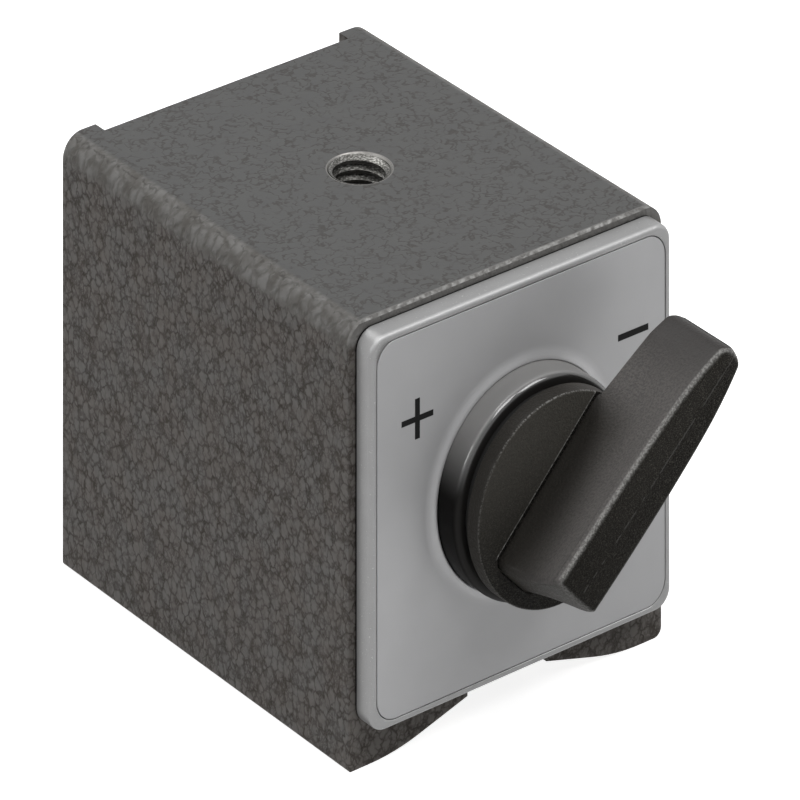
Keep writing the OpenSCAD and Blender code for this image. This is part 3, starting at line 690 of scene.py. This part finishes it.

# The flanks are painted much lighter than the front faces of the same coat: a painted sheen, darker again towards the
# long end.
flank = f.mix(coarse, shade(84, 82, 81), shade(100, 97, 95))
flank = f.mix(f.step(along, 25, 15), shade(60, 58, 57), flank)
flank = f.mix(f.math("MAXIMUM", low_painted_shade, f.step(f.face[2], -0.2, -0.6)), flank, shade(44, 42, 39))
# The flange's face is painted near black towards the short end and the lower half-moon: a painted shadow of the bar.
flange = f.mix(f.step(along + across, -12, 14), shade(22, 21, 19), shade(70, 68, 64))
flange = f.mix(channel_shade, flange, shade(14, 13, 12))
# The bar's front is painted lighter on its near side and towards the long end, darker elsewhere: painted light and
# shade.
ridge = f.mix(f.step(across, -1, 1) * f.step(along, -8, 12), shade(18, 16, 13), shade(34, 32, 29))
colour = f.mix(forward, flank, f.mix(bar, flange, ridge))
glint = glint * (0.06 + 0.35 * forward * (0.5 + 0.5 * f.step(along, -8, 18)))
colour = f.mix(glint, colour, shade(104, 101, 94))
colour = f.mix(edge * 0.8, colour, shade(164, 163, 160))
colour = f.mix(parting * 0.7, colour, shade(84, 83, 81))
coat = f.wear(Base_Color=colour, Roughness=0.5 + 0.2 * coarse, Coat_Weight=0.12 * (1 - forward),
              Normal=f.bump(coarse + 0.8 * forward * fine + parting, 0.05))
made = piece("knob_casting", points, faces, coat, "rotor", "knob_coat", ["knob"])
skins = bmesh.new()
skins.from_mesh(made.data)
bmesh.ops.recalc_face_normals(skins, faces=skins.faces)
skins.to_mesh(made.data)
skins.free()
shade_evenly(made)

# ---- Studio ----
# A white floor and a plain white surround, with four soft lights: one over and behind the block, two high
# in front and one low on its left. The floor and the surround show as white, and the floor keeps the
# shadow.

FLOOR_HALF, FLOOR_GLOW, SURROUND = 3.0, 0.82, 0.06


def seen_directly(tree):
    """A socket that is 1 for rays from the camera and from mirrors and glass, and 0 for all other rays."""
    path = tree.nodes.new("ShaderNodeLightPath")
    seen = path.outputs["Is Camera Ray"]
    for ray in ("Is Glossy Ray", "Is Transmission Ray"):
        either = tree.nodes.new("ShaderNodeMath")
        either.operation = "MAXIMUM"
        tree.links.new(seen, either.inputs[0])
        tree.links.new(path.outputs[ray], either.inputs[1])
        seen = either.outputs[0]
    return seen


corners = [(FLOOR_HALF * sx, FLOOR_HALF * sy, 0) for sx, sy in ((-1, -1), (1, -1), (1, 1), (-1, 1))]
floor_mesh = bpy.data.meshes.new("floor")
floor_mesh.from_pydata(corners, [], [(0, 1, 2, 3)])
floor = bpy.data.objects.new("floor", floor_mesh)
bpy.context.scene.collection.objects.link(floor)
f = Finish("white_floor", Roughness=0.95, Specular_IOR_Level=0.1, Emission_Strength=1.0)
glow = f.mix(Value(f, seen_directly(f.tree)), (0, 0, 0, 1), (FLOOR_GLOW, FLOOR_GLOW, FLOOR_GLOW, 1))
floor_mesh.materials.append(f.wear(Base_Color=f.mix(f.noise(60), shade(215, 215, 215), shade(218, 218, 218)),
                                   Emission_Color=glow))

world = bpy.data.worlds.new("surround")
bpy.context.scene.world = world
world.use_nodes = True
tree = world.node_tree
background = tree.nodes["Background"]
background.inputs["Color"].default_value = (1, 1, 1, 1)
strength = tree.nodes.new("ShaderNodeMapRange")
strength.inputs["To Min"].default_value = SURROUND
strength.inputs["To Max"].default_value = 1.0
tree.links.new(seen_directly(tree), strength.inputs["Value"])
tree.links.new(strength.outputs[0], background.inputs["Strength"])


def soft_light(name, size, power, place, aim=(0, 0, 0.03)):
    """A square lamp that faces the block."""
    light = bpy.data.lights.new(name, "AREA")
    light.size, light.energy = size, power
    lamp = bpy.data.objects.new(name, light)
    bpy.context.scene.collection.objects.link(lamp)
    lamp.location = place
    lamp.rotation_mode = "QUATERNION"
    lamp.rotation_quaternion = (Vector(place) - Vector(aim)).to_track_quat("Z", "Y")


soft_light("overhead", 0.35, 2.8, (-0.12, 0.3, 0.75))
soft_light("front", 0.35, 2.1, (-0.1, -0.45, 0.8))
soft_light("front_right", 0.35, 2.2, (0.35, -0.5, 0.7))
soft_light("left", 0.3, 1.5, (-0.8, 0.2, 0.45))

# The camera is of the kind with an upright back, so that upright edges stay parallel while the lens looks
# down. Its stand leans its axes to do that; a lens shift would do it too, but it would follow the camera
# to every other side.
azimuth, fall, lens = math.radians(-38.04), math.radians(27.66), 442.8
eye = (-0.68055, -0.87814, 0.60773)
lean = Matrix((
    (math.cos(azimuth), 0, math.sin(azimuth) * math.cos(fall), eye[0]),
    (math.sin(azimuth), 0, -math.cos(azimuth) * math.cos(fall), eye[1]),
    (0, 1, math.sin(fall), eye[2]),
    (0, 0, 0, 1)))
camera = bpy.data.objects.new("camera", bpy.data.cameras.new("camera"))
camera.data.lens, camera.data.sensor_width = lens, 36
camera.data.clip_start, camera.data.clip_end = 0.05, 20
stand = bpy.data.objects.new("camera_stand", None)
for thing in (camera, stand):
    bpy.context.scene.collection.objects.link(thing)
camera.parent = stand
camera.matrix_parent_inverse = lean
bpy.context.scene.camera = camera
bpy.context.scene.view_settings.view_transform = "Standard"
